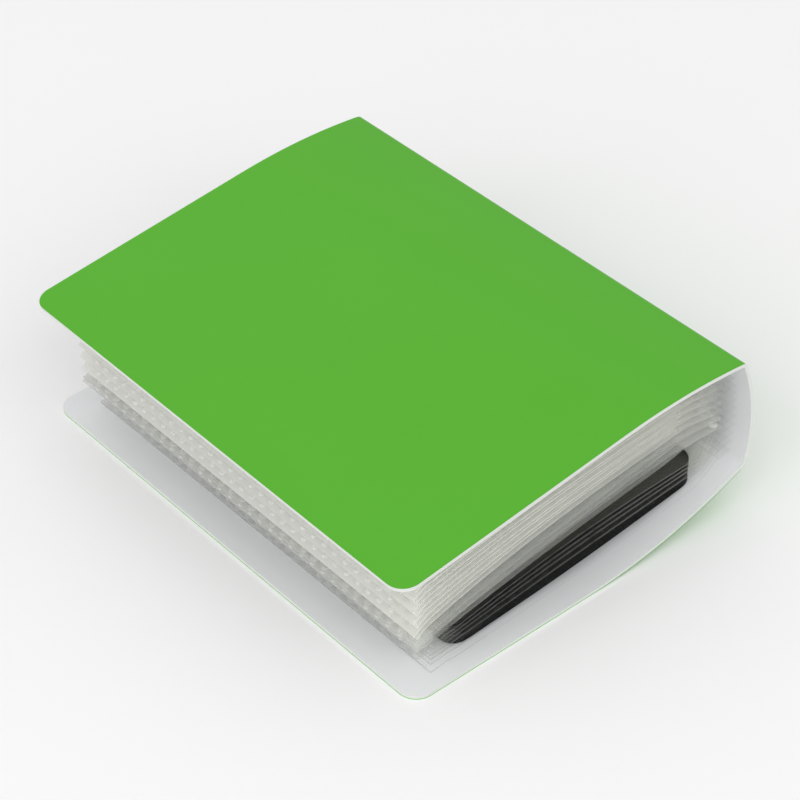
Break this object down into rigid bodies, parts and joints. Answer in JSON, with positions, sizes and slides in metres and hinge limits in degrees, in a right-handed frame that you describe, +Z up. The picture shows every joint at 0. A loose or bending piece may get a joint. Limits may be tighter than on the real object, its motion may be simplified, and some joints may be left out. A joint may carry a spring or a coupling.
{
  "type": "stamp album",
  "caption": "Small soft-cover pocket album: a creased green plastic cover over turning pages of clear film pockets, the lowest filled with black cards that slide out.",
  "frame": {"origin": "on the table under the middle of the closed album", "axes": "+X from the spine to the fore-edge, +Y along the spine to the open pocket mouths, +Z up through the front cover"},
  "size_m": [0.0888, 0.112, 0.0368],
  "materials": {
    "green_face": "satin green face of the cover sheet",
    "white_sheet": "satin white polypropylene sheet",
    "clear_film": "clear, slightly milky pocket film",
    "welded_film": "film welded in small pips",
    "black_card": "smooth coated black card"
  },
  "bodies": {
    "back_cover": {"back_cover_panel": "white_sheet", "back_cover_skin": "green_face"},
    "spine": {"spine_panel": "white_sheet", "spine_skin": "green_face", "page_stubs": "welded_film"},
    "front_cover": {"front_cover_panel": "white_sheet", "front_cover_skin": "green_face"},
    "page_01": {"page_01_front_film": "clear_film", "page_01_back_film": "clear_film", "page_01_seams": "welded_film"},
    "page_02": {"page_02_front_film": "clear_film", "page_02_back_film": "clear_film", "page_02_seams": "welded_film"},
    "page_03": {"page_03_front_film": "clear_film", "page_03_back_film": "clear_film", "page_03_seams": "welded_film"},
    "page_04": {"page_04_front_film": "clear_film", "page_04_back_film": "clear_film", "page_04_seams": "welded_film"},
    "page_05": {"page_05_front_film": "clear_film", "page_05_back_film": "clear_film", "page_05_seams": "welded_film"},
    "page_06": {"page_06_front_film": "clear_film", "page_06_back_film": "clear_film", "page_06_seams": "welded_film"},
    "page_07": {"page_07_front_film": "clear_film", "page_07_back_film": "clear_film", "page_07_seams": "welded_film"},
    "page_08": {"page_08_front_film": "clear_film", "page_08_back_film": "clear_film", "page_08_seams": "welded_film"},
    "page_09": {"page_09_front_film": "clear_film", "page_09_back_film": "clear_film", "page_09_seams": "welded_film"},
    "cards_09": {"page_09_cards": "black_card"},
    "page_10": {"page_10_front_film": "clear_film", "page_10_back_film": "clear_film", "page_10_seams": "welded_film"},
    "cards_10": {"page_10_cards": "black_card"},
    "page_11": {"page_11_front_film": "clear_film", "page_11_back_film": "clear_film", "page_11_seams": "welded_film"},
    "cards_11": {"page_11_cards": "black_card"},
    "page_12": {"page_12_front_film": "clear_film", "page_12_back_film": "clear_film", "page_12_seams": "welded_film"},
    "cards_12": {"page_12_cards": "black_card"}
  },
  "joints": [
    {"name": "back_hinge", "type": "hinge", "parent": "back_cover", "child": "spine", "pos_m": [-0.04307, 0, 0.00969], "axis": [0, -1, 0], "range_deg": [0, 100]},
    {"name": "front_hinge", "type": "hinge", "parent": "spine", "child": "front_cover", "pos_m": [-0.04027, 0, 0.03569], "axis": [0, -1, 0], "range_deg": [0, 90]},
    {"name": "page_01_turn", "type": "hinge", "parent": "spine", "child": "page_01", "pos_m": [-0.03847, 0, 0.0332], "axis": [0, -1, 0], "range_deg": [0, 72.5]},
    {"name": "page_02_turn", "type": "hinge", "parent": "spine", "child": "page_02", "pos_m": [-0.03858, 0, 0.03117], "axis": [0, -1, 0], "range_deg": [0, 54.5]},
    {"name": "page_03_turn", "type": "hinge", "parent": "spine", "child": "page_03", "pos_m": [-0.03869, 0, 0.02915], "axis": [0, -1, 0], "range_deg": [0, 45.5]},
    {"name": "page_04_turn", "type": "hinge", "parent": "spine", "child": "page_04", "pos_m": [-0.0388, 0, 0.02712], "axis": [0, -1, 0], "range_deg": [0, 38.3]},
    {"name": "page_05_turn", "type": "hinge", "parent": "spine", "child": "page_05", "pos_m": [-0.03891, 0, 0.02509], "axis": [0, -1, 0], "range_deg": [0, 29.3]},
    {"name": "page_06_turn", "type": "hinge", "parent": "spine", "child": "page_06", "pos_m": [-0.03902, 0, 0.02306], "axis": [0, -1, 0], "range_deg": [0, 20.3]},
    {"name": "page_07_turn", "type": "hinge", "parent": "spine", "child": "page_07", "pos_m": [-0.03913, 0, 0.02104], "axis": [0, -1, 0], "range_deg": [0, 10.4]},
    {"name": "page_08_turn", "type": "hinge", "parent": "spine", "child": "page_08", "pos_m": [-0.03924, 0, 0.01901], "axis": [0, -1, 0], "range_deg": [-14.5, 0]},
    {"name": "page_09_turn", "type": "hinge", "parent": "spine", "child": "page_09", "pos_m": [-0.03935, 0, 0.01698], "axis": [0, -1, 0], "range_deg": [-26.5, 0]},
    {"name": "cards_09_slide", "type": "slide", "parent": "page_09", "child": "cards_09", "axis": [0, 1, 0], "range_m": [0, 0.09]},
    {"name": "page_10_turn", "type": "hinge", "parent": "spine", "child": "page_10", "pos_m": [-0.03945, 0, 0.01495], "axis": [0, -1, 0], "range_deg": [-38.5, 0]},
    {"name": "cards_10_slide", "type": "slide", "parent": "page_10", "child": "cards_10", "axis": [0, 1, 0], "range_m": [0, 0.09]},
    {"name": "page_11_turn", "type": "hinge", "parent": "spine", "child": "page_11", "pos_m": [-0.03957, 0, 0.01293], "axis": [0, -1, 0], "range_deg": [-50.5, 0]},
    {"name": "cards_11_slide", "type": "slide", "parent": "page_11", "child": "cards_11", "axis": [0, 1, 0], "range_m": [0, 0.09]},
    {"name": "page_12_turn", "type": "hinge", "parent": "spine", "child": "page_12", "pos_m": [-0.03967, 0, 0.0109], "axis": [0, -1, 0], "range_deg": [-75.5, 0]},
    {"name": "cards_12_slide", "type": "slide", "parent": "page_12", "child": "cards_12", "axis": [0, 1, 0], "range_m": [0, 0.09]}
  ],
  "couplings": [
    {"joint": "page_01_turn", "follows": "front_hinge", "ratio": 0.8},
    {"joint": "page_02_turn", "follows": "front_hinge", "ratio": 0.6},
    {"joint": "page_03_turn", "follows": "front_hinge", "ratio": 0.5},
    {"joint": "page_04_turn", "follows": "front_hinge", "ratio": 0.42},
    {"joint": "page_05_turn", "follows": "front_hinge", "ratio": 0.32},
    {"joint": "page_06_turn", "follows": "front_hinge", "ratio": 0.22},
    {"joint": "page_07_turn", "follows": "front_hinge", "ratio": 0.11},
    {"joint": "page_08_turn", "follows": "back_hinge", "ratio": -0.14},
    {"joint": "page_09_turn", "follows": "back_hinge", "ratio": -0.26},
    {"joint": "page_10_turn", "follows": "back_hinge", "ratio": -0.38},
    {"joint": "page_11_turn", "follows": "back_hinge", "ratio": -0.5},
    {"joint": "page_12_turn", "follows": "back_hinge", "ratio": -0.75}
  ]
}
